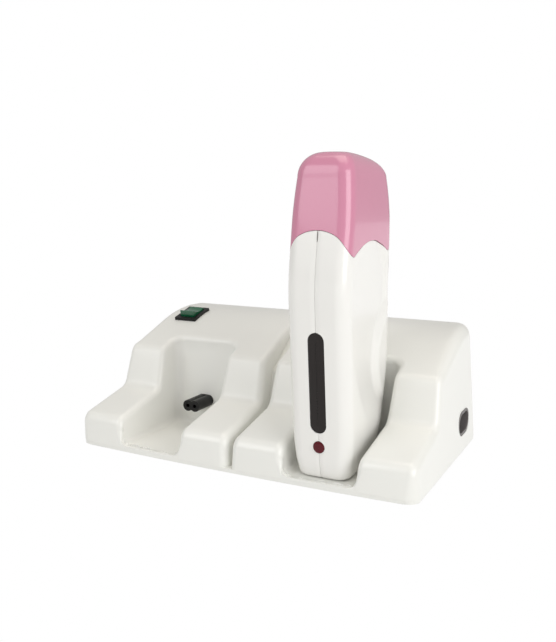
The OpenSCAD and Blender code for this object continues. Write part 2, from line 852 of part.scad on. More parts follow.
module handset_socket() color("black") {
    at_plug(1)
        difference() {
            union() {
                translate([-10.6, -6.5, -8.6])
                    cube([21.2, 13, 12.6]);
                translate([-10.6, -8.5, 0.4])
                    cube([21.2, 17, 3.6]);
            }
            translate([0, 0, -20])
                figure8(plug_w + 2 * plug_gap, plug_h + 2 * plug_gap, 20 + slide_gap);
            for (s = [-1, 1])
                translate([s * pin_pitch / 2, 0, -2])
                    cylinder(d = pin_d, h = 10);
        }
}

module handset_pins() color("silver") {
    at_plug(1)
        for (s = [-1, 1])
            translate([s * pin_pitch / 2, 0, -6]) {
                cylinder(d = pin_d, h = 13);
                sphere(d = pin_d);
            }
}

module control_board() color("darkgreen") {
    difference() {
        translate([unit_x - 16.5, cart_y - 26, 39.4])
            cube([33, 40, 1.6]);
        for (x = [-13, 13])
            for (y = [-22, 10])
                translate([unit_x + x, cart_y + y, 38])
                    cylinder(d = 2.4, h = 5);
    }
    translate([unit_x - 10, cart_y - 6, 41])
        cube([9, 12, 6]);
    translate([unit_x + 8, cart_y, 41])
        cylinder(d = 7, h = 9);
    translate([unit_x + 2, cart_y - 14, 41])
        cube([8, 6, 1.6]);
}

module handset_wiring() color("saddlebrown") {
    y = plug_y - 8.1;
    for (k = [-1, 1]) {
        wire([[unit_x + k * pin_pitch / 2, y, plug_z], [unit_x + k * 5, y - 4, 32],
            [unit_x + k * 5, y - 4, 39.4]], 1.8);
        wire([[unit_x + k * 9, cart_y + 10, 42], [unit_x + k * 14, cart_y + 19.8, 47],
            [unit_x + k * 17.6, cart_y + 19.8, 52], [unit_x + k * 17.6, cart_y + 16, 68]], 1.4);
    }
}

module handset_screws() color("silver") {
    shell_boss(-1, screw_d - 0.6, 10.5);
    shell_boss(1, screw_d - 0.6, 10.5);
}

// ---- cartridge, roller and cap ----

module cartridge_body() color("honeydew") {
    in_cart(0)
        difference() {
            union() {
                rounded_block(cart_w, cart_d, 8, cart_h);
                translate([0, 0, cart_h])
                    rounded_block(cart_w - 6, cart_d - 8, 7, 7);
            }
            translate([0, 0, 1.4])
                rounded_block(cart_w - 2.8, cart_d - 2.8, 6.6, cart_h - 2.8);
            translate([0, 0, cart_h - 3])
                rounded_block(cart_w - 9, cart_d - 11, 5.5, 20);
        }
}

module cartridge_head() color("white") {
    z = roll_z - cart_z;
    in_cart(0)
        difference() {
            union() {
                translate([0, 0, cart_h + 0.4])
                    rounded_block(cart_w - 1, cart_d - 1, 8, 9);
                translate([0, 0, cart_h + 9])
                    rounded_block(cart_w - 5, cart_d - 4, 8, z - cart_h - 9);
            }
            translate([0, 0, cart_h - 0.1])
                rounded_block(cart_w - 5.8, cart_d - 7.8, 7.1, 7.2);
            translate([0, -roller_l / 2 - 0.3, z - 1])
                rotate([-90, 0, 0])
                    cylinder(d = roller_d + 0.8, h = roller_l + 0.6);
            translate([-3, -roller_l / 2 + 4, cart_h])
                cube([6, roller_l - 8, 30]);
            translate([0, -cart_d, z - 1])
                rotate([-90, 0, 0])
                    cylinder(d = 3, h = 2 * cart_d);
        }
}

module wax_fill() color("gold") {
    in_cart(1.4)
        rounded_block(cart_w - 2.8, cart_d - 2.8, 6.6, cart_h * 0.8);
}

module roller_axle() color("silver") {
    in_cart(roll_z - cart_z - 1)
        translate([0, -roller_l / 2 - 2.6, 0])
            rotate([-90, 0, 0])
                cylinder(d = 3, h = roller_l + 5.2);
}

module roller() color("ivory") {
    in_cart(roll_z - cart_z - 1)
        translate([0, -roller_l / 2, 0])
            rotate([-90, 0, 0])
                difference() {
                    cylinder(d = roller_d, h = roller_l);
                    translate([0, 0, -1])
                        cylinder(d = 3.1, h = roller_l + 2);
                }
}

function cap_top(y) = hand_top - 0.0016 * pow(max(0, y - (front + 18)), 2);

// Loops of the cap's skin from its lower edge to its crown.
function cap_loop(k, e, n) =
    let (r = half_ring(cap_low, 0, n), zt = hand_top - cap_r - 4)
    [for (i = [0:len(r) - 1])
        let (lo = scallop(r[i]), a = max(0, (k - 5) * 18),
            z = k <= 5 ? lo + (zt - lo) * k / 5 : 0,
            q = k <= 5 ? half_ring(max(z, cap_low), e, n)[i]
                : half_ring(zt, e + (cap_r - e) * (1 - cos(a)), n)[i],
            zz = k <= 5 ? z : zt + (cap_top(q[1]) - zt - e) * sin(a))
        [q[0], q[1], zz]];

// One level ring of the cap, right half and mirrored left half.
function cap_ring(k, e) = let (h = cap_loop(k, e, 5), m = len(h))
    concat(h, [for (i = [m - 2:-1:1]) [-h[i][0], h[i][1], h[i][2]]]);

// Inner skin from the crown down, level rim, outer skin up to the crown.
module cap() color("pink") {
    translate([unit_x, 0, 0])
        skin(concat([for (k = [9:-1:0]) cap_ring(k, cap_t)], [for (k = [0:9]) cap_ring(k, 0)]));
}

base_housing();
base_plate();
base_feet();
base_screws();
switch_frame();
switch_rocker();
power_inlet();
inlet_pins();
left_dock_plug();
right_dock_plug();
plug_brackets();
terminal_block();
base_wiring();
handset_left_shell();
handset_right_shell();
level_window();
indicator_lens();
indicator_lamp();
heater_sleeve();
heater_plates();
thermostat();
handset_socket();
handset_pins();
control_board();
handset_wiring();
handset_screws();
cartridge_body();
cartridge_head();
wax_fill();
roller_axle();
roller();
cap();
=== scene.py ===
"""Roll on wax heater: the looks. Metres, +Z up, the bays face -Y."""

import math

import bmesh
import bpy
import numpy as np
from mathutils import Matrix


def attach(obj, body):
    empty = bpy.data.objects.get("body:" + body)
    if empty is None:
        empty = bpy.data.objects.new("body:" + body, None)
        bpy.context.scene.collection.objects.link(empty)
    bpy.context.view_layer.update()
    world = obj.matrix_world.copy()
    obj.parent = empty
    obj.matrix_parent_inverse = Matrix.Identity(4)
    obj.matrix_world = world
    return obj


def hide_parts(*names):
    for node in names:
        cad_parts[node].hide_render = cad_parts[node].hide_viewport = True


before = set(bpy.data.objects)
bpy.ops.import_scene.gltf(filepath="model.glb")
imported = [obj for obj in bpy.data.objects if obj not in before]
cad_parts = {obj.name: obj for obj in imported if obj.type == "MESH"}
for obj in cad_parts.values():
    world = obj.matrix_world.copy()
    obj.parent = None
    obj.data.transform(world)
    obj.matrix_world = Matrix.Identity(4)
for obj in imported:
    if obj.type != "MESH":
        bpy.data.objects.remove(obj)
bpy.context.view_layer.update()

MM = 0.001


# ---- colour and node helpers ----

def linear(hex_colour):
    """sRGB hex to linear: c/12.92 below 0.04045, else ((c + 0.055) / 1.055) ** 2.4."""
    c = np.array([int(hex_colour[i:i + 2], 16) / 255 for i in (1, 3, 5)])
    c = np.where(c <= 0.04045, c / 12.92, ((c + 0.055) / 1.055) ** 2.4)
    return (*c.tolist(), 1.0)


def add(tree, kind, links=None, **settings):
    """Adds one node; settings go to its sockets or its own properties, links feed its inputs."""
    n = tree.nodes.new(kind)
    for key, value in settings.items():
        if hasattr(n, key):
            setattr(n, key, value)
        else:
            n.inputs[key.replace("_", " ")].default_value = value
    for key, source in (links or {}).items():
        tree.links.new(source, n.inputs[key])
    return n


def finish_of(name, colour, rough, ior=1.5, metal=0.0, coat=0.0, coat_rough=0.1, sub=0.0,
              grain_mm=0.6, grain=0.0, mottle=0.03, transmission=0.0, tint=None, spec=0.5):
    """A moulded or drawn surface: a base colour with a faint slow mottle and a fine relief.

    grain_mm is the spacing of the relief, grain its height in hundredths of a millimetre; a
    polished surface has no relief, and only its gloss varies."""
    m = bpy.data.materials.new(name)
    m.use_nodes = True
    t = m.node_tree
    t.nodes.clear()
    out = add(t, "ShaderNodeOutputMaterial")
    b = add(t, "ShaderNodeBsdfPrincipled")
    at = add(t, "ShaderNodeTexCoord").outputs["Object"]
    b.inputs["IOR"].default_value = ior
    b.inputs["Metallic"].default_value = metal
    b.inputs["Coat Weight"].default_value = coat
    b.inputs["Coat Roughness"].default_value = coat_rough
    b.inputs["Subsurface Weight"].default_value = sub
    b.inputs["Subsurface Radius"].default_value = (0.6, 0.5, 0.4)
    b.inputs["Subsurface Scale"].default_value = 1.5 * MM
    b.inputs["Specular IOR Level"].default_value = spec
    b.inputs["Transmission Weight"].default_value = transmission
    slow = add(t, "ShaderNodeTexNoise", {"Vector": at}, Scale=1 / (35 * MM), Detail=2.0)
    lo = tuple(x * (1 - mottle) for x in linear(colour)[:3]) + (1.0,)
    hi = linear(tint or colour)
    mix = add(t, "ShaderNodeMix", data_type="RGBA")
    t.links.new(slow.outputs["Fac"], mix.inputs["Factor"])
    mix.inputs["A"].default_value = lo
    mix.inputs["B"].default_value = hi
    t.links.new(mix.outputs["Result"], b.inputs["Base Color"])
    fine = add(t, "ShaderNodeTexNoise", {"Vector": at}, Scale=1 / (grain_mm * MM),
               Detail=3.0 if grain else 0.0)
    span = add(t, "ShaderNodeMapRange", {"Value": fine.outputs["Fac"]})
    span.inputs["To Min"].default_value = rough - (0.04 if grain else 0.015)
    span.inputs["To Max"].default_value = rough + (0.04 if grain else 0.015)
    t.links.new(span.outputs["Result"], b.inputs["Roughness"])
    if grain:
        bump = add(t, "ShaderNodeBump", {"Height": fine.outputs["Fac"]}, Strength=0.5,
                   Distance=grain * 0.01 * MM)
        t.links.new(bump.outputs["Normal"], b.inputs["Normal"])
    t.links.new(b.outputs["BSDF"], out.inputs["Surface"])
    return m


# White ABS, injection moulded and polished: an even, slightly soft gloss.
white_abs = finish_of("white ABS, moulded", "#F1F1EC", 0.3, ior=1.53, coat=0.25, coat_rough=0.12,
                      grain_mm=40.0, mottle=0.01)
# A neutral white for the handset: the same plastic, a little glossier than the base.
handset_abs = finish_of("white ABS, polished", "#F3F2EE", 0.26, ior=1.53, coat=0.3,
                        coat_rough=0.1, grain_mm=40.0, mottle=0.008)
# Pink ABS cap, moulded and polished: bright lines along its edges over an even pink.
pink_abs = finish_of("pink ABS, polished", "#D48AA4", 0.24, ior=1.53, coat=0.5, coat_rough=0.06,
                     grain_mm=40.0, mottle=0.01, tint="#D68EA8")
# Black polycarbonate from a spark eroded mould: matt with a fine grain, so it stays dark.
black_pc = finish_of("black polycarbonate, grained", "#0E0E0E", 0.42, ior=1.58, spec=0.25,
                     grain_mm=0.35, grain=0.8)
# Green polycarbonate rocker: deep green with a clear gloss.
green_pc = finish_of("green polycarbonate, moulded", "#0B5033", 0.2, ior=1.58, coat=0.3,
                     grain_mm=10.0, tint="#0F6A44")
# Smoked acrylic window, polished: near black with only faint reflections.
smoked_acrylic = finish_of("smoked acrylic, polished", "#17110F", 0.08, ior=1.49, spec=0.3,
                           grain_mm=30.0, tint="#241D1A")
# Red acrylic lens: a dark wine red with a small bright glint.
red_acrylic = finish_of("red acrylic, moulded", "#4A0410", 0.12, ior=1.49, spec=0.3,
                        grain_mm=10.0, tint="#640A1A")
# Inlet of PA6, moulded, matt dark grey.
grey_pa = finish_of("polyamide, moulded", "#6E6A69", 0.5, ior=1.53, grain_mm=0.5, grain=1.0)
# Synthetic rubber, compression moulded: matt.
foot_rubber = finish_of("nitrile rubber, moulded", "#333230", 0.75, ior=1.52, grain_mm=0.4,
                        grain=2.0)
# Zinc plated steel, cold headed: bright with a faint haze.
zinc_steel = finish_of("zinc plated steel", "#B8BBBE", 0.32, metal=1.0, grain_mm=0.3, grain=0.6)
# Nickel plated brass, turned: small warm glints in the inlet and the socket.
nickel_brass = finish_of("nickel plated brass, turned", "#C8C2B0", 0.2, metal=1.0, grain_mm=0.2,
                         grain=0.3)
# Natural polyamide for inner pieces: cream, matt, faintly translucent.
natural_pa = finish_of("natural polyamide, moulded", "#D9D3C4", 0.5, ior=1.53, sub=0.1,
                       grain_mm=0.8, grain=0.8)
# Silicone rubber sleeving, extruded: soft brown without shine.
sleeving = finish_of("silicone sleeving, extruded", "#6E4A36", 0.55, ior=1.41, grain_mm=0.5,
                     grain=0.6)
# Aluminium sheet, rolled and folded: a dull silver sheen.
aluminium = finish_of("aluminium sheet, rolled", "#C6C8CA", 0.36, metal=1.0, grain_mm=0.5,
                      grain=0.8)
# Polyimide heater film: glossy amber.
polyimide = finish_of("polyimide film", "#B8742F", 0.3, ior=1.7, coat=0.4, grain_mm=2.0, grain=0.5)
# Epoxy glass laminate with green solder resist: half gloss.
laminate = finish_of("epoxy laminate, coated", "#2A6A3A", 0.4, ior=1.55, coat=0.2, grain_mm=0.7,
                     grain=0.5)
# Clear polypropylene, blow moulded: the amber wax shows through it.
clear_pp = finish_of("polypropylene, blow moulded", "#F2F2EC", 0.2, ior=1.49, transmission=0.9,
                     grain_mm=20.0)
# White polypropylene head and roller, moulded: a soft waxy white.
white_pp = finish_of("polypropylene, moulded", "#F0F0EC", 0.3, ior=1.49, sub=0.1, grain_mm=1.0,
                     grain=0.4)
# Depilatory wax, cast: amber, faintly soft.
wax = finish_of("rosin wax, cast", "#D79A30", 0.22, ior=1.5, sub=0.3, coat=0.2, grain_mm=3.0,
                grain=1.5)

MATERIALS = {
    "base_housing": white_abs, "base_plate": white_abs, "base_feet": foot_rubber,
    "base_screws": zinc_steel, "switch_frame": black_pc, "switch_rocker": green_pc,
    "power_inlet": grey_pa, "inlet_pins": nickel_brass, "left_dock_plug": black_pc,
    "right_dock_plug": black_pc, "plug_brackets": natural_pa, "terminal_block": natural_pa,
    "base_wiring": sleeving, "handset_left_shell": handset_abs,
    "handset_right_shell": handset_abs, "level_window": smoked_acrylic,
    "indicator_lens": red_acrylic, "indicator_lamp": clear_pp, "heater_sleeve": aluminium,
    "heater_plates": polyimide, "thermostat": zinc_steel, "handset_socket": black_pc,
    "handset_pins": nickel_brass, "control_board": laminate, "handset_wiring": sleeving,
    "handset_screws": zinc_steel, "cartridge_body": clear_pp, "cartridge_head": white_pp,
    "wax_fill": wax, "roller_axle": zinc_steel, "roller": white_pp, "cap": pink_abs,
}
for node_name, material in MATERIALS.items():
    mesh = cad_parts[node_name].data
    mesh.materials.clear()
    mesh.materials.append(material)


# ---- sizes of part.scad, in mm ----
# front, back and half width of the base where its walls meet the foot
FRONT, BACK, HALF = -78.25, 83.25, 136.0
# heights of the skin's lower edge, the bays' floor and the foot
Z0, ZF, FOOT = 3.4, 5.2, 0.6
# draft of all walls
TD = np.tan(np.radians(3.2))
# middle and half width of one dock
UNIT_X, UNIT_HALF = 68.5, 67.5
# distance from the front and height of the arm's end, the shoulder and the top's bend
ARM_L, ARM_H, SHOULDER_L, SHOULDER_H, TOP_L, TOP_H = 54.6, 37, 64.4, 68.1, 122.8, 92.2
# height of the back edge, of the front edge's corner, and where the arms end
BACK_H, NOSE_H, ARM_Y = 93.2, 25, FRONT + ARM_L
SLOPE = (TOP_H - SHOULDER_H) / (TOP_L - SHOULDER_L)
# the bay: half width and length at the floor, back of its rim
BAY_HALF, BAY_L, RIM_Y = 26.35, 77.7, 3.63
# radii of the bay's rim, of its upper and lower back corners and of its floor
EDGE_R, PLAN_R, LOW_R, FLOOR_R = 4.8, 8.0, 6.5, 4.6
# how far the arms' fronts draw back at the outer corners, wall of the base and of the handset
BOW, BASE_WALL, HAND_WALL = 3.2, 1.5, 1.6
# rows of a side profile below its first arc: the foot's rows, and those with the first line
FOOT_ROWS, LOW_ROWS = 3, 8


def smooth(t):
    """Smooth step 3t^2 - 2t^3 on t held to 0..1."""
    t = np.clip(t, 0, 1)
    return t * t * (3 - 2 * t)


def unit(v):
    """The vector at length 1."""
    return v / np.linalg.norm(v)


def offset_corners(corners, k):
    """Corners [y, z, tangent, w] moved to the right of the path by k*w along the mitres.

    An arc's tangent length grows or shrinks by k*w*tan(half turn), so arcs stay concentric."""
    c = np.array(corners, float)
    left = [unit(b - a)[::-1] * (-1, 1) for a, b in zip(c[:-1, :2], c[1:, :2])]
    out = c.copy()
    for i in range(len(c)):
        a, b = left[max(i - 1, 0)], left[min(i, len(c) - 2)]
        d = k * c[i, 3]
        if i in (0, len(c) - 1):
            out[i, :2] -= a * d * ((1, 0) if abs(a[0]) > 0.9 else (1, 1))
            continue
        out[i, :2] -= (a + b) / (1 + a @ b) * d
        turn, h = a[0] * b[1] - a[1] * b[0], np.linalg.norm(a - b) / np.linalg.norm(a + b)
        out[i, 2] = max(c[i, 2] + (d * h if turn > 0 else -d * h), 0.25)
    return out


def corner_path(corners, n_arc=8, n_line=5):
    """Rows [y, z, w] along a path whose corners are circular arcs.

    An arc is ((1-t)^2 S + 2t(1-t)k P + t^2 E) / ((1-t)^2 + 2t(1-t)k + t^2), k = cos(half turn)."""
    c = np.array(corners, float)
    t = np.linspace(0, 1, n_arc + 1)[:, None]
    rows = [c[:1, [0, 1, 3]]]
    for a, p, b in zip(c[:-2], c[1:-1], c[2:]):
        u, v = unit(a[:2] - p[:2]), unit(b[:2] - p[:2])
        k = np.sqrt((1 - u @ v) / 2)
        s, e = p[:2] + u * p[2], p[:2] + v * p[2]
        arc = ((1 - t) ** 2 * s + 2 * t * (1 - t) * k * p[:2] + t * t * e)
        arc = np.hstack([arc / ((1 - t) ** 2 + 2 * t * (1 - t) * k + t * t),
                         np.full((n_arc + 1, 1), p[3])])
        rows += [np.linspace(rows[-1][-1], arc[0], n_line + 1)[1:-1], arc]
    rows.append(np.linspace(rows[-1][-1], c[-1, [0, 1, 3]], n_line + 1)[1:])
    return np.vstack(rows)


def top_z(y):
    """Height of the tower's plane top at y."""
    return SHOULDER_H + (y - FRONT - SHOULDER_L) * SLOPE


def front_y(z):
    """The drafted front face at height z."""
    return FRONT + (z - FOOT) * TD


def back_y(z):
    """The drafted back face at height z."""
    return BACK - (z - FOOT) * TD


def outer_x(z):
    """Half width of a drafted dock at height z."""
    return UNIT_HALF - (z - FOOT) * TD


def profile(weights, k):
    """Rows [y, z, w] of a dock's side profile, offset inwards by k*w, front foot to back foot.

    weights: the value at the front foot, front edge, arm's end, shoulder, bay's back corner,
    top bend, back edge and back foot."""
    w = weights
    yc = RIM_Y - PLAN_R
    z_low = np.array([Z0, ZF, (ZF + ZF + FLOOR_R) / 2])
    zs = ZF + FLOOR_R
    w_zs = w[0] + (w[1] - w[0]) * (zs - Z0) / 15
    front = [[front_y(zs), zs, 0, w_zs], [front_y(NOSE_H), NOSE_H, 7, w[1]],
             [ARM_Y, ARM_H, 4.3, w[2]], [FRONT + SHOULDER_L, SHOULDER_H, 4.3, w[3]],
             [yc, top_z(yc), 0, w[4]]]
    back = [front[-1], [FRONT + TOP_L, TOP_H, 20, w[5]], [back_y(BACK_H), BACK_H, 2.5, w[6]],
            [back_y(Z0), Z0, 0, w[7]]]
    a = corner_path(offset_corners(front, k))
    b = corner_path(offset_corners(back, k))
    w_low = w[0] + (w_zs - w[0]) * (z_low - Z0) / (zs - Z0)
    foot = np.stack([front_y(z_low) + k * w_low, z_low, w_low], 1)
    return np.vstack([foot, a, b[1:]]), len(foot) + len(a)


def grow(z):
    """Share of the full radius that the upright edge beside a bay has at height z."""
    return 0.03 + 0.97 * smooth((z - ZF) / 13)


def flare(psi):
    """Rows [x, y, z] of the rounded upper edge of an arm at the angle psi from the bay's wall.

    It lies r(1-cos psi) outside the wall and r(1-sin psi) under the arm's profile, and the
    radius r grows from the floor to the front edge by grow(z)."""
    even = [0, 1, 1, 1, 1, 1, 1, 1]
    p, n = profile(even, 0.0)
    q, _ = profile(even, EDGE_R * (1 - np.sin(psi)))
    p, q = p[:n], q[:n].copy()
    low = np.arange(n) < LOW_ROWS
    g = np.where(low, grow(p[:, 1]), 1.0)
    q[low, 0] = p[low, 0] + EDGE_R * g[low] * (1 - np.sin(psi))
    q[low, 1] = p[low, 1]
    x = BAY_HALF + EDGE_R * g * (1 - np.cos(psi))
    return np.stack([x, q[:, 0], q[:, 1]], 1)


def bay_draft(p):
    """Bay points [x, y, z] widened with height: x += (z - floor) tan(draft) |x| / half width."""
    x = p[..., 0] + np.maximum(0, p[..., 2] - ZF) * TD * np.clip(p[..., 0] / BAY_HALF, 0, 1)
    return np.stack([x, p[..., 1], p[..., 2]], -1)


def half_dock(outer):
    """Grids of one half of a dock, from the bay's middle to its outer or its valley side."""
    psi = np.radians(np.linspace(0, 90, 9))
    fl = np.stack([flare(a) for a in psi])
    n = fl.shape[1]
    yc, yl = RIM_Y - PLAN_R, FRONT + BAY_L - LOW_R
    grids = [bay_draft(fl)]
    th = np.radians(np.linspace(0, 90, 11))
    run = np.linspace(1, 0, 7)[1:]

    def plan(cx, cy, r):
        """Plan of the bay's back: a quarter circle, then straight to the middle."""
        arc = np.stack([cx + r * np.cos(th), cy + r * np.sin(th)], 1)
        line = np.stack([cx * run, np.full(len(run), cy + r)], 1)
        return np.vstack([arc, line])

    # rim round the bay's back, at right angles to the sloping top
    out_by = EDGE_R * (1 - np.cos(psi))
    down_by = EDGE_R * (1 - np.sin(psi))
    al = np.arctan(SLOPE)
    rim = []
    for dj, sj in zip(out_by, down_by):
        q = plan(BAY_HALF - PLAN_R, yc, PLAN_R + dj)
        rim.append(np.stack([q[:, 0], q[:, 1] + np.sin(al) * sj,
                             top_z(q[:, 1]) - np.cos(al) * sj], 1))
    rim = np.stack(rim)
    grids.append(bay_draft(rim))
    # floor fillet and wall, from the front round to the middle of the back
    above = fl[0, FOOT_ROWS:]
    top = np.vstack([above, rim[0, 1:]])
    g = (above[:, 1] - above[0, 1]) / (above[-1, 1] - above[0, 1])
    wall = []
    for be in np.radians(np.linspace(0, 90, 7)):
        inset, z = FLOOR_R * (1 - np.sin(be)), ZF + FLOOR_R * (1 - np.cos(be))
        y0 = front_y(z) + EDGE_R * grow(z)
        side = np.stack([np.full(n - FOOT_ROWS, BAY_HALF - inset), y0 + (yl - y0) * g], 1)
        q = np.vstack([side, plan(BAY_HALF - LOW_R, yl, LOW_R - inset)[1:]])
        wall.append(np.column_stack([q, np.full(len(q), z)]))
    low = wall[-1]
    for t in np.linspace(0, 1, 9)[1:]:
        wall.append(low + (top - low) * t)
    wall = np.stack(wall)
    grids.append(bay_draft(wall))
    # floor: columns end on the floor fillet's inner edge
    inner = wall[0]
    m = n - FOOT_ROWS
    cols = inner[m - 1:, 0]
    rows = inner[:m, 1]
    flat = np.stack(np.broadcast_arrays(cols[None, :], rows[:, None], ZF), -1)
    grids.append(bay_draft(flat))
    t = np.linspace(0, 1, 4)[:, None]
    back = np.stack([np.broadcast_to(cols, (4, len(cols))), yl + (inner[m - 1:, 1] - yl) * t,
                     np.full((4, len(cols)), ZF)], -1)
    grids.append(bay_draft(back))
    # front lip under the floor and the fillet
    fil = wall[:7, 0]
    edge = np.vstack([np.column_stack([cols[::-1], np.full(len(cols), flat[0, 0, 1]),
                                       np.full(len(cols), ZF)]), fil[1:]])
    f = (fl[0, :FOOT_ROWS + 1, 2] - Z0) / (above[0, 2] - Z0)
    z = Z0 + f[:, None] * (edge[None, :, 2] - Z0)
    y = front_y(z) + EDGE_R * grow(z)
    grids.append(bay_draft(np.stack([np.broadcast_to(edge[:, 0], z.shape), y, z], -1)))
    # top behind the bay; w_out is the radius of the outer edge along the profile
    w_out = [9, 6, 5, 5, 6.5, 8.5, 12, 9] if outer else [6, 6, 5, 5, 5, 3.5, 0.4, 0.4]
    p, na = profile(w_out, 0.0)
    tail = p[na - 1:]
    start = rim[-1]
    k = np.arange(6) / 5
    line_y = start[:, 1][:, None] + (tail[5, 0] - start[:, 1][:, None]) * k
    yy = np.hstack([line_y, np.broadcast_to(tail[6:, 0], (len(start), len(tail) - 6))])
    zz = np.hstack([top_z(line_y), np.broadcast_to(tail[6:, 1], (len(start), len(tail) - 6))])
    bx = start[:, 0] + (start[:, 2] - ZF) * TD * np.clip(start[:, 0] / BAY_HALF, 0, 1)
    grids.append(np.stack([np.broadcast_to(bx[:, None], yy.shape), yy, zz], -1))
    # arm and tower beside the bay, edge rounding and side wall
    row = np.arange(len(p))
    x_in = BAY_HALF + EDGE_R * np.where(row < LOW_ROWS, grow(p[:, 1]), 1.0)
    x_in = x_in + np.maximum(0, np.where(row < na, p[:, 1], top_z(yc)) - ZF) * TD
    x_out = outer_x(p[:, 1]) - p[:, 2]
    t = np.linspace(0, 1, 7)[:, None]
    side = [np.stack([x_in + (x_out - x_in) * a, p[:, 0], p[:, 1]], 1) for a in t]
    for a in np.radians(np.linspace(0, 90, 9))[1:]:
        q, _ = profile(w_out, 1 - np.cos(a))
        x = outer_x(q[:, 1]) - q[:, 2] * (1 - np.sin(a))
        side.append(np.stack([x, q[:, 0], q[:, 1]], 1))
    last = side[-1]
    if outer:
        run = np.linalg.norm(np.diff(last[:, 1:], axis=0), axis=1)
        run = np.concatenate([[0], np.cumsum(run)]) / run.sum()
        foot_y = last[0, 1] + (last[-1, 1] - last[0, 1]) * run
        for s in (0.66, 0.33, 0.0):
            z = Z0 + (last[:, 2] - Z0) * s
            y = foot_y + (last[:, 1] - foot_y) * s
            side.append(np.stack([outer_x(z), y, z], 1))
    else:
        # the valley's wall and its web, which lies under the tops by these weights
        q, _ = profile([9, 12, 13, 15, 14, 5, 0.6, 0.6], 1.0)
        side.append(np.stack([outer_x(q[:, 1]), q[:, 0], q[:, 1]], 1))
        side.append(np.stack([np.full(len(q), UNIT_X), q[:, 0], q[:, 1]], 1))
    grids.append(np.stack(side))
    return grids


# ---- handset and cap surfaces ----

# half width, lower end, height and reach of the front's knee, top of the cap
HAND_W, HAND_Z, KNEE_Z, KNEE_Y, HAND_TOP = 21.5, 5.5, 136.2, 83.95, 219.4
# lowest tip of the cap, top of the neck, radius of the cap's crown
CAP_LOW, NECK_TOP, CAP_R = 153.8, 175.8, 12.0
# lean of the front below and above the knee
LEAN = math.radians(5.08)
LEAN_LOW, LEAN_HIGH = np.tan(LEAN), np.tan(np.radians(8.2))
# radii of the front and rear edges, and shares of the girth taken by the front and the rear
FRONT_R, REAR_R, FRONT_V, REAR_V = 8.8, 11, 0.12, 0.86


def smooth_min(a, b, k):
    """Lower of two values, blended over a band of width k: min(a,b) - h^2 k/4."""
    h = np.maximum(0, k - np.abs(a - b)) / k
    return np.minimum(a, b) - h * h * k / 4


def face_y(z):
    """The handset's front: two leaning planes, a soft knee between them, curled in at the foot."""
    low = KNEE_Y - (KNEE_Z - HAND_Z) * LEAN_LOW + (z - HAND_Z) * LEAN_LOW
    high = KNEE_Y - (z - KNEE_Z) * LEAN_HIGH
    return -smooth_min(low, high, 3) + 2.2 * (np.clip(HAND_Z + 15 - z, 0, 15) / 15) ** 2


def rear_y(z):
    """The handset's back: plumb, drawn in quadratically below 88 mm and above 165 mm."""
    return 3.55 - 0.0035 * np.maximum(0, 88 - z) ** 2 - 0.0026 * np.maximum(0, z - 165) ** 2


def side_x(z):
    """Half width of the handset, narrowed at the foot and near the crown."""
    return HAND_W - 3.5 * np.maximum(0, (40.5 - z) / 35) ** 2 - 0.0016 * np.maximum(0, z - 170) ** 2


def ring(z, e, crown=False, counts=(7, 11, 25, 9, 5)):
    """Half a level section set in by e: x, y and the place k from the front's middle to the back's.

    z and e broadcast against the section's points. k is 0..1 on the flat front, 1..2 on the front
    arc, 2..3 on the side, 3..4 on the rear arc and 4..5 on the back. A crown is set in by 1.15 e
    at the front and 1.7 e at the back."""
    z, e = np.asarray(z, float), np.asarray(e, float)
    f = face_y(z) + e * (1.15 if crown else 1)
    b = rear_y(z) - e * (1.7 if crown else 1)
    h = side_x(z) - e
    rf, rr = np.maximum(FRONT_R - e, 2), np.maximum(REAR_R - e, 2)
    if crown:
        rf, rr = FRONT_R, np.maximum(REAR_R - 0.2 * e, FRONT_R)
    nf, na, ns, nr, nb = counts
    k = np.concatenate([np.linspace(0, 1, nf)[:-1], 1 + np.linspace(0, 1, na)[:-1],
                        2 + np.linspace(0, 1, ns)[:-1], 3 + np.linspace(0, 1, nr)[:-1],
                        4 + np.linspace(0, 1, nb)])
    a1, a3 = np.clip(k - 1, 0, 1) * np.pi / 2, np.clip(k - 3, 0, 1) * np.pi / 2
    x = np.where(k < 1, (h - rf) * k, np.where(k < 2, h - rf + rf * np.sin(a1), np.where(
        k < 3, h, np.where(k < 4, h - rr + rr * np.cos(a3), (h - rr) * (5 - k)))))
    y = np.where(k < 1, f, np.where(k < 2, f + rf - rf * np.cos(a1), np.where(
        k < 3, f + rf + (b - rr - f - rf) * (k - 2), np.where(k < 4, b - rr + rr * np.sin(a3), b))))
    return x, y, k


def scallop():
    """Height of the cap's lower edge over each point of the outline.

    A front arch (1-0.9x^2)^0.6, a parabola over each side and a rise to the back."""
    x, y, _ = ring(CAP_LOW, 0.0)
    k = np.abs(x) / HAND_W
    v = (y - face_y(CAP_LOW)) / (rear_y(CAP_LOW) - face_y(CAP_LOW))
    arch = 17 * np.maximum(0, 1 - k * k * 0.9) ** 0.6 * (1 - v / FRONT_V)
    side = 9.2 * (1 - (2 * (v - FRONT_V) / (REAR_V - FRONT_V) - 1) ** 2)
    rear = 9.2 * 1.3 * (v - REAR_V) / (1 - REAR_V)
    return CAP_LOW + np.where(v < FRONT_V, arch, np.where(v < REAR_V, side, rear))


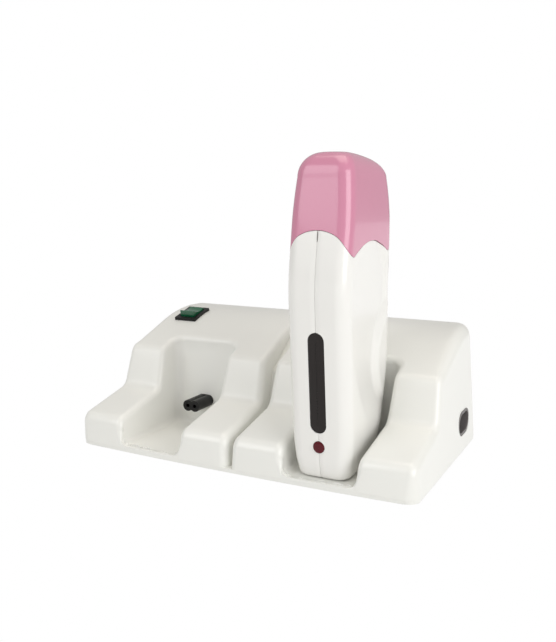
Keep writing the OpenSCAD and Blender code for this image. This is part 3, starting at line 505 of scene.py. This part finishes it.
def grip(y, z):
    """Depth of the finger hollow in a side: it deepens from a curved front line to a rear crease.

    Front line -74.6 + c (z-120)^2; crease: the lower of a parabola about z = 80 and one that
    turns in above 127."""
    start = -74.6 + np.where(z > 120, 0.0104, 0.0052) * (z - 120) ** 2
    waist = -29.2 + 0.0148 * (z - 80) ** 2
    crease = smooth_min(waist, -5.2 - 0.0175 * np.maximum(0, z - 127) ** 2, 5)
    u = np.clip((y - start) / (crease - start), 0, 1)
    out = 1 - smooth((y - crease) / 7.0)
    deep = 3.1 * smooth((z - 30) / 34) * smooth((171 - z) / 22)
    return deep * np.where(y < crease, u ** 0.85, out)


def shell_half():
    """Grid of the handset's right half: foot, body to 0.35 mm under the cap's edge, step, neck."""
    edge, foot_r, seam = scallop() - 0.35, 3, 0.06
    rows = []
    for a in np.radians(np.linspace(0, 90, 7)):
        z = HAND_Z + foot_r * (1 - np.cos(a))
        rows.append((z, foot_r * (1 - np.sin(a))))
    z_low = HAND_Z + foot_r
    for t in np.linspace(0, 1, 110)[1:]:
        rows.append((z_low + (edge - z_low) * t, 0.0))
    for t in (0.0, 0.35, 0.7, 1.0):
        rows.append((edge + (NECK_TOP - edge) * t, 2.6))
    out = []
    for z, e in rows:
        x, y, k = ring(z, e)
        z = np.broadcast_to(z, x.shape)
        if e == 0.0:
            x = x - grip(y, z) * smooth((x - 8) / 8) * smooth((3.4 - k) / 0.45)
        out.append(np.stack([x, y, z], -1))
    grid = np.stack(out)
    # the parting line: both halves stop just short of the middle and round off there
    near = np.clip(1 - grid[..., 0] / 0.5, 0, 1) ** 2
    sign = np.where(np.arange(grid.shape[1]) < grid.shape[1] // 2, 1, -1)
    grid[..., 1] += sign * 0.45 * near
    grid[..., 0] = np.maximum(grid[..., 0], seam)
    foot = grid[0]
    close = np.stack([np.column_stack([np.maximum(foot[:, 0] * t, seam), foot[:, 1], foot[:, 2]])
                      for t in (0.0, 0.5)])
    return np.concatenate([close, grid])


def cap_half():
    """Grid of the right half of the cap: inner skin from the top down, rim, outer skin back up.

    Each skin: walls, a crown edge of radius 12, a slightly curved top."""
    edge, base = scallop(), HAND_TOP - CAP_R - 4

    def skin(wall):
        """Rows of one skin, set in by the wall."""
        out = []
        for t in np.linspace(0, 1, 24):
            z = edge + (base - edge) * t
            x, y, _ = ring(np.maximum(z, CAP_LOW), wall)
            out.append(np.stack([x, y, z], -1))
        for a in np.radians(np.linspace(0, 90, 15))[1:]:
            x, y, _ = ring(base, wall + (CAP_R - wall) * (1 - np.cos(a)), crown=True)
            top = HAND_TOP - wall - 0.0016 * np.maximum(0, y - (FRONT + 18)) ** 2
            out.append(np.stack([x, y, base + (top - base) * np.sin(a)], -1))
        last = out[-1]
        for t in (0.66, 0.33, 0.0):
            out.append(np.stack([last[:, 0] * t, last[:, 1], last[:, 2]], -1))
        return np.stack(out)

    return np.concatenate([skin(HAND_WALL)[::-1], skin(0.0)])


# ---- meshes from grids ----

def mesh_of(name, grids, material, sharp=35.0):
    """One welded object in metres from grids of points in mm; faces outwards, smooth shaded."""
    points, faces, start = [], [], 0
    for g in grids:
        a, b = g.shape[:2]
        i = np.arange(a * b).reshape(a, b) + start
        faces.append(np.stack([i[:-1, :-1], i[1:, :-1], i[1:, 1:], i[:-1, 1:]], -1).reshape(-1, 4))
        points.append(g.reshape(-1, 3))
        start += a * b
    me = bpy.data.meshes.new(name)
    me.from_pydata((np.vstack(points) * MM).tolist(), [], np.vstack(faces).tolist())
    bm = bmesh.new()
    bm.from_mesh(me)
    bmesh.ops.remove_doubles(bm, verts=bm.verts, dist=2e-5)
    bmesh.ops.dissolve_degenerate(bm, edges=bm.edges, dist=1e-5)
    bmesh.ops.recalc_face_normals(bm, faces=bm.faces)
    top = max(bm.faces, key=lambda f: f.calc_center_median().z)
    if top.normal.z < 0:
        bmesh.ops.reverse_faces(bm, faces=bm.faces)
    bm.to_mesh(me)
    bm.free()
    me.shade_smooth()
    me.set_sharp_from_angle(angle=math.radians(sharp))
    o = bpy.data.objects.new(name, me)
    bpy.context.collection.objects.link(o)
    me.materials.append(material)
    return o


def prism(name, outline, place, x_axis, y_axis, low, high):
    """A closed prism: an outline [x, y] in the plane of two axes at a place, from low to high."""
    n = np.cross(x_axis, y_axis)
    flat = np.array(place) + outline[:, :1] * np.array(x_axis) + outline[:, 1:] * np.array(y_axis)
    pts = np.vstack([flat + n * low, flat + n * high]) * MM
    m = len(outline)
    me = bpy.data.meshes.new(name)
    side = [(i, (i + 1) % m, m + (i + 1) % m, m + i) for i in range(m)]
    me.from_pydata(pts.tolist(), [], [tuple(range(m - 1, -1, -1)), tuple(range(m, 2 * m))] + side)
    o = bpy.data.objects.new(name, me)
    bpy.context.collection.objects.link(o)
    return o


def slot_outline(length, width, n=16):
    """A slot with round ends along X: two half circles of the slot's width."""
    a = np.linspace(-np.pi / 2, np.pi / 2, n)
    right = np.stack([(length - width) / 2 + width / 2 * np.cos(a), width / 2 * np.sin(a)], 1)
    return np.vstack([right, -right])


def cut(obj, cutters, thickness):
    """Gives a skin its wall and cuts the holes; the cutters are removed afterwards."""
    solid = obj.modifiers.new("wall", "SOLIDIFY")
    solid.thickness, solid.offset = thickness * MM, -1
    for c in cutters:
        b = obj.modifiers.new("hole", "BOOLEAN")
        b.operation, b.object, b.solver = "DIFFERENCE", c, "EXACT"
    done = bpy.data.meshes.new_from_object(obj.evaluated_get(bpy.context.evaluated_depsgraph_get()))
    obj.modifiers.clear()
    obj.data = done
    done.shade_smooth()
    done.set_sharp_from_angle(angle=math.radians(58))
    for c in cutters:
        bpy.data.objects.remove(c)


def edge_round(obj, width, angle=38.0):
    """Rounds the sharp edges that a mould leaves, over the given width in mm."""
    b = obj.modifiers.new("edges", "BEVEL")
    b.width, b.segments, b.limit_method = width * MM, 2, "ANGLE"
    b.angle_limit, b.harden_normals = math.radians(angle), True
    b.use_clamp_overlap = True


X, Y, Z = np.eye(3)
SQUARE = np.array([[-1, -1], [1, -1], [1, 1], [-1, 1]])
# places of the switch, the inlet, the docking plugs, the window's lower arc and the lens
SWITCH_X, SWITCH_Y, INLET_Z, PLUG_Z = -104.7, 38.25, 22.6, 25.1
WINDOW_Z, LENS_Z = 58.3, 28.7

# ---- base housing ----

grids = []
for side in (1, -1):
    for outer, away in ((True, 1), (False, -1)):
        for g in half_dock(outer):
            x = side * (UNIT_X + away * g[..., 0])
            bow = BOW * (x / HALF) ** 2 * np.clip((ARM_Y - g[..., 1]) / ARM_L, 0, 1)
            grids.append(np.stack([x, g[..., 1] + bow, g[..., 2]], -1))
housing = mesh_of("housing_shell", grids, white_abs)

tilt = math.radians(15.5)
switch_y = np.array([0, math.cos(tilt), math.sin(tilt)])
holes = [prism("cut_switch", SQUARE * (10.4, 12.1), (SWITCH_X, SWITCH_Y, 87.9), X, switch_y, -9, 9),
         prism("cut_inlet", slot_outline(30.2, 18.7),
               (HALF - (INLET_Z - FOOT) * TD, 44.95, INLET_Z), Y, Z, -9, 9)]
for s in (-1, 1):
    holes.append(prism("cut_plug", slot_outline(15.6, 9.2), (s * UNIT_X, -20.05, PLUG_Z),
                       X, -Z, 8, 30))
cut(housing, holes, BASE_WALL)
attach(housing, "base")
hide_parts("base_housing")

# ---- handset shells ----

half = shell_half()
up = np.array([0, -math.sin(LEAN), math.cos(LEAN)])
window_at = np.array([UNIT_X, face_y(WINDOW_Z), WINDOW_Z]) + up * 14
lens_at = (UNIT_X, face_y(LENS_Z), LENS_Z)
notch_at = (UNIT_X, face_y(167.5), 167.0)
for name, s in (("left", -1), ("right", 1)):
    skin = mesh_of(f"{name}_skin", [half * (s, 1, 1) + (UNIT_X, 0, 0)], handset_abs)
    cut(skin, [prism("cut_window", slot_outline(68.3, 11.5), window_at, up, X, -6, 6),
               prism("cut_lens", slot_outline(8.41, 8.4), lens_at, X, Z, -6, 6),
               prism("cut_socket", SQUARE * (10.8, 6.7), (UNIT_X, -10, PLUG_Z), X, Z, -9, 9),
               prism("cut_notch", slot_outline(1.0, 0.99) * (1, 7.5), notch_at, X, Z, -3, 3)],
        HAND_WALL)
    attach(skin, "handset")
    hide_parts(f"handset_{name}_shell")

# ---- window, lens and rocker ----

def domed(outline_at, steps, place, x_axis, y_axis):
    """Grid over an outline that shrinks while it rises: rows (inset, height) of a domed piece."""
    n = np.cross(x_axis, y_axis)
    rows = []
    for inset, rise in steps:
        o = outline_at(inset)
        o = np.vstack([o, o[:1]])
        rows.append(np.array(place) + o[:, :1] * np.array(x_axis) + o[:, 1:] * np.array(y_axis)
                    + n * rise)
    return np.stack(rows)


# Sides 2.5 mm deep, an edge of radius 0.7, then a shallow crown over the width.
arc = np.radians(np.linspace(0, 90, 6))
steps = [(0.0, -2.5)] + [(0.7 * (1 - math.cos(a)), -0.7 + 0.7 * math.sin(a)) for a in arc]
steps += [(e, 0.35 * math.sin(math.pi / 2 * (e - 0.7) / 4.85)) for e in np.linspace(1.2, 5.55, 8)]
window = mesh_of("window_lens", [domed(
    lambda e: slot_outline(68 - 2 * e, max(11.2 - 2 * e, 0.01), 24), steps, window_at, -up, X)],
    smoked_acrylic)
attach(window, "handset")
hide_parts("level_window")

# A round plug 3.5 mm deep with a low dome of 0.8 mm.
steps = [(0.0, -3.5), (0.0, 0.1)] + [(4.1 * (1 - math.cos(a)), 0.1 + 0.8 * math.sin(a))
                                     for a in np.radians(np.linspace(10, 89.5, 10))]
lens = mesh_of("lamp_lens", [domed(
    lambda e: slot_outline(8.21 - 2 * e, max(8.2 - 2 * e, 0.01), 24), steps, lens_at, X, Z)],
    red_acrylic)
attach(lens, "handset")
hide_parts("indicator_lens")

# The rocker's side profile [y, z] about its pivot: raised ends, hollow middle, rounded corners.
side_view = corner_path([[0, -4.2, 0, 0], [6.6, -4.2, 2, 0], [7.9, 0, 2, 0], [8.3, 4.9, 0.9, 0],
                         [0, 2.5, 6, 0], [-8.3, 6.1, 0.9, 0], [-7.9, 0, 2, 0], [-6.6, -4.2, 2, 0],
                         [0, -4.2, 0, 0]], 6, 3)[:, :2]
turn = tilt - math.radians(8)
pivot = np.array([SWITCH_X, SWITCH_Y - 0.6 * math.sin(tilt), 87.88 + 0.6 * math.cos(tilt)])
profile_rows = []
for x, s in [(-7.0, 0.0), (-7.0, 0.9), (-6.85, 0.97), (-6.5, 1.0), (6.5, 1.0), (6.85, 0.97),
             (7.0, 0.9), (7.0, 0.0)]:
    y, z = side_view[:, 0] * s, side_view[:, 1] * s
    profile_rows.append(np.stack([np.full(len(y), x), y * math.cos(turn) - z * math.sin(turn),
                                  y * math.sin(turn) + z * math.cos(turn)], 1) + pivot)
rocker = mesh_of("rocker_cap", [np.stack(profile_rows)], green_pc, 30)
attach(rocker, "rocker")
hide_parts("switch_rocker")

# ---- cap ----

half = cap_half()
cap = mesh_of("cap_shell", [half + (UNIT_X, 0, 0), half * (-1, 1, 1) + (UNIT_X, 0, 0)], pink_abs)
edge_round(cap, 0.3)
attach(cap, "cap")
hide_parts("cap")


# ---- floor, light and camera ----

def backdrop_material(name):
    """Pale floor that shows as plain white to the camera and to mirror rays."""
    m = bpy.data.materials.new(name)
    m.use_nodes = True
    t = m.node_tree
    t.nodes.clear()
    out = add(t, "ShaderNodeOutputMaterial")
    path = add(t, "ShaderNodeLightPath")
    plain = add(t, "ShaderNodeBsdfDiffuse")
    plain.inputs["Color"].default_value = linear("#EDEDED")
    bright = add(t, "ShaderNodeEmission", Strength=1.0)
    either = add(t, "ShaderNodeMath", operation="MAXIMUM")
    t.links.new(path.outputs["Is Camera Ray"], either.inputs[0])
    t.links.new(path.outputs["Is Glossy Ray"], either.inputs[1])
    mix = add(t, "ShaderNodeMixShader")
    t.links.new(either.outputs["Value"], mix.inputs["Fac"])
    t.links.new(plain.outputs["BSDF"], mix.inputs[1])
    t.links.new(bright.outputs["Emission"], mix.inputs[2])
    t.links.new(mix.outputs["Shader"], out.inputs["Surface"])
    return m


def floor_mesh(size, name):
    """One flat square of the given half size at the height the feet stand on."""
    me = bpy.data.meshes.new(name)
    me.from_pydata([(x, y, 0.0) for x, y in (SQUARE * size).tolist()], [], [(0, 1, 2, 3)])
    o = bpy.data.objects.new(name, me)
    bpy.context.collection.objects.link(o)
    return o


floor = floor_mesh(6.0, "floor")
floor.data.materials.append(backdrop_material("paper backdrop"))


def area_light(name, place, target, size, power, colour="#FFFFFF"):
    """A square soft box that faces its target."""
    data = bpy.data.lights.new(name, "AREA")
    data.energy = power
    data.size = size
    data.color = linear(colour)[:3]
    o = bpy.data.objects.new(name, data)
    bpy.context.collection.objects.link(o)
    o.location = place
    d = np.array(target) - np.array(place)
    yaw = math.atan2(-d[0], d[1])
    pitch = math.atan2(d[2], math.hypot(d[0], d[1]))
    o.rotation_euler = (math.pi / 2 + pitch, 0, yaw)
    return o


MIDDLE = (0.0, 0.0, 0.08)
area_light("soft box right", (1.1, -0.45, 0.45), MIDDLE, 0.8, 6.5)
area_light("soft box front left", (-0.7, -1.2, 0.9), MIDDLE, 0.9, 5.5)
area_light("soft box above", (0.1, 0.1, 1.5), MIDDLE, 1.0, 5, "#FFF6E6")

world = bpy.data.worlds.new("studio")
bpy.context.scene.world = world
world.use_nodes = True
wt = world.node_tree
wt.nodes.clear()
wo = add(wt, "ShaderNodeOutputWorld")
wl = add(wt, "ShaderNodeLightPath")
w_fill = add(wt, "ShaderNodeBackground", Strength=0.46)
w_fill.inputs["Color"].default_value = linear("#FFFFFF")
w_white = add(wt, "ShaderNodeBackground", Strength=1.0)
w_white.inputs["Color"].default_value = (1, 1, 1, 1)
w_any = add(wt, "ShaderNodeMath", operation="MAXIMUM")
wt.links.new(wl.outputs["Is Camera Ray"], w_any.inputs[0])
wt.links.new(wl.outputs["Is Transmission Ray"], w_any.inputs[1])
w_mix = add(wt, "ShaderNodeMixShader")
wt.links.new(w_any.outputs["Value"], w_mix.inputs["Fac"])
wt.links.new(w_fill.outputs["Background"], w_mix.inputs[1])
wt.links.new(w_white.outputs["Background"], w_mix.inputs[2])
wt.links.new(w_mix.outputs["Shader"], wo.inputs["Surface"])

scene = bpy.context.scene
scene.view_settings.view_transform = "Standard"

# Found by a perspective fit to the photograph: 757.9 px focal length over its 642 px long side.
cam_data = bpy.data.cameras.new("camera")
cam_data.sensor_width = 36.0
cam_data.lens = 757.9 / 642 * 36.0
camera = bpy.data.objects.new("camera", cam_data)
bpy.context.collection.objects.link(camera)
camera.location = (0.26484, -0.51053, 0.19338)
camera.rotation_euler = (math.radians(90 - 9.56), math.radians(0.06), math.radians(27.43))
scene.camera = camera
